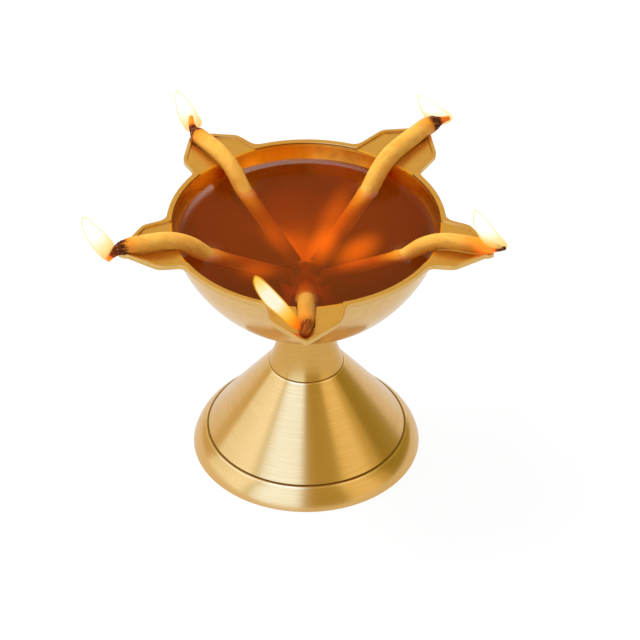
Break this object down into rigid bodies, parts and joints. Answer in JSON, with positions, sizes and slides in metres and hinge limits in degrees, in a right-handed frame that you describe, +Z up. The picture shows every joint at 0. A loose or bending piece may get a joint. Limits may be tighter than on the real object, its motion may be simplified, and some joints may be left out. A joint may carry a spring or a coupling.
{
  "type": "oil lamp",
  "caption": "Footed brass aarti lamp: an oil-filled bowl whose rim carries pointed wick spouts, on a flared pedestal, with cotton wicks alight.",
  "frame": {"origin": "centre of the foot ring's underside, on the lamp's axis, where it stands", "axes": "+Z up along the lamp's axis, -Y towards the front spout, +X to the right seen from the front"},
  "size_m": [0.1059, 0.0914, 0.087],
  "materials": {
    "brass_bowl": "satin",
    "brass_turned": "brushed",
    "brass_plain": "satin",
    "lamp_oil": "gloss",
    "cotton_wick": "matte",
    "flame": "gloss"
  },
  "bodies": {
    "lamp": {"bowl": "brass_bowl", "oil": "lamp_oil", "neck_collar": "brass_turned", "pedestal_cone": "brass_turned", "foot_ring": "brass_turned", "tie_rod": "brass_plain", "clamp_washer": "brass_plain", "clamp_nut": "brass_plain"},
    "wick_front": {"wick_front": "cotton_wick", "flame_front": "flame"},
    "wick_right": {"wick_right": "cotton_wick", "flame_right": "flame"},
    "wick_back_right": {"wick_back_right": "cotton_wick", "flame_back_right": "flame"},
    "wick_back_left": {"wick_back_left": "cotton_wick", "flame_back_left": "flame"},
    "wick_left": {"wick_left": "cotton_wick", "flame_left": "flame"}
  },
  "joints": [
    {"name": "wick_front_draw", "type": "slide", "parent": "lamp", "child": "wick_front", "axis": [0, -0.6993, 0.7148], "range_m": [0, 0.03], "deforming": ["oil"]},
    {"name": "wick_right_draw", "type": "slide", "parent": "lamp", "child": "wick_right", "axis": [0.677, -0.1751, 0.7148], "range_m": [0, 0.03]},
    {"name": "wick_back_right_draw", "type": "slide", "parent": "lamp", "child": "wick_back_right", "axis": [0.4305, 0.551, 0.7148], "range_m": [0, 0.03]},
    {"name": "wick_back_left_draw", "type": "slide", "parent": "lamp", "child": "wick_back_left", "axis": [-0.4305, 0.551, 0.7148], "range_m": [0, 0.03]},
    {"name": "wick_left_draw", "type": "slide", "parent": "lamp", "child": "wick_left", "axis": [-0.677, -0.1751, 0.7148], "range_m": [0, 0.03]}
  ]
}
